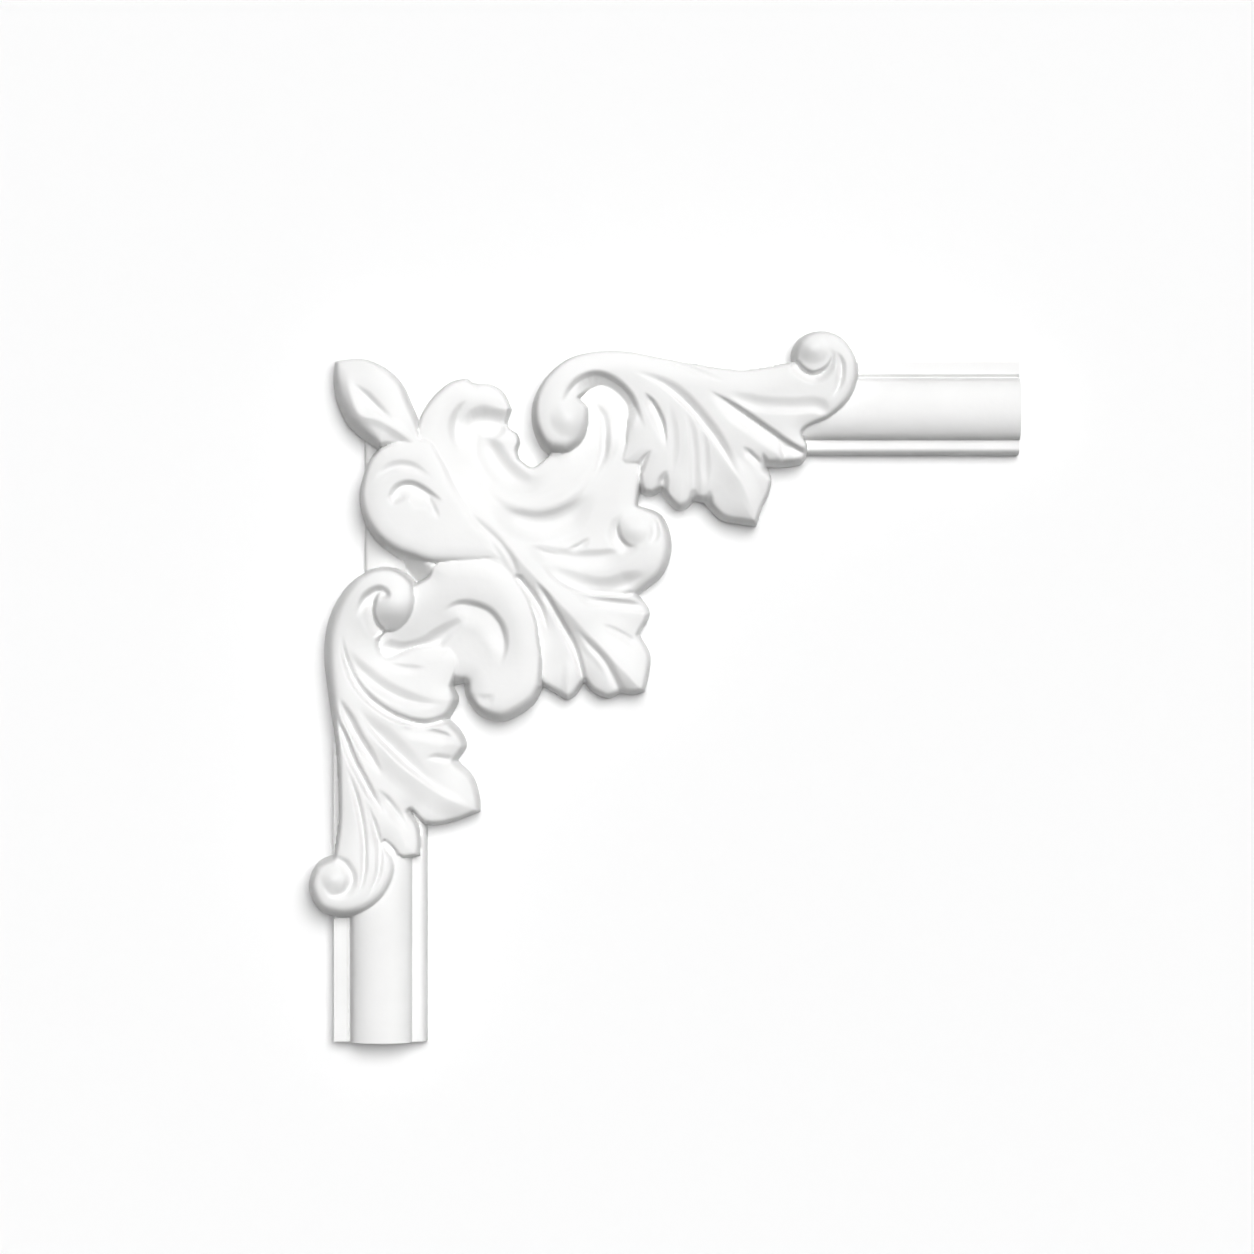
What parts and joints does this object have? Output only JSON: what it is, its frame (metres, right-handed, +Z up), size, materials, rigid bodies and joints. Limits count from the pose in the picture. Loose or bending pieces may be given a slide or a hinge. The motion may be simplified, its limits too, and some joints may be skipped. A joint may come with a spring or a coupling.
{
  "type": "moulding corner",
  "caption": "Cast corner for a wall panel moulding: acanthus leaves and a shell over the meeting of two straight mouldings, flat behind.",
  "frame": {"origin": "on the wall plane, where the centre lines of the two straight mouldings cross", "axes": "+Y into the wall, +X along the right-hand moulding, +Z up; the face looks to -Y"},
  "size_m": [0.3061, 0.0241, 0.306],
  "materials": {
    "primed_casting": "matt white primer"
  },
  "bodies": {
    "root": {"moulding_corner": "primed_casting"}
  },
  "joints": []
}
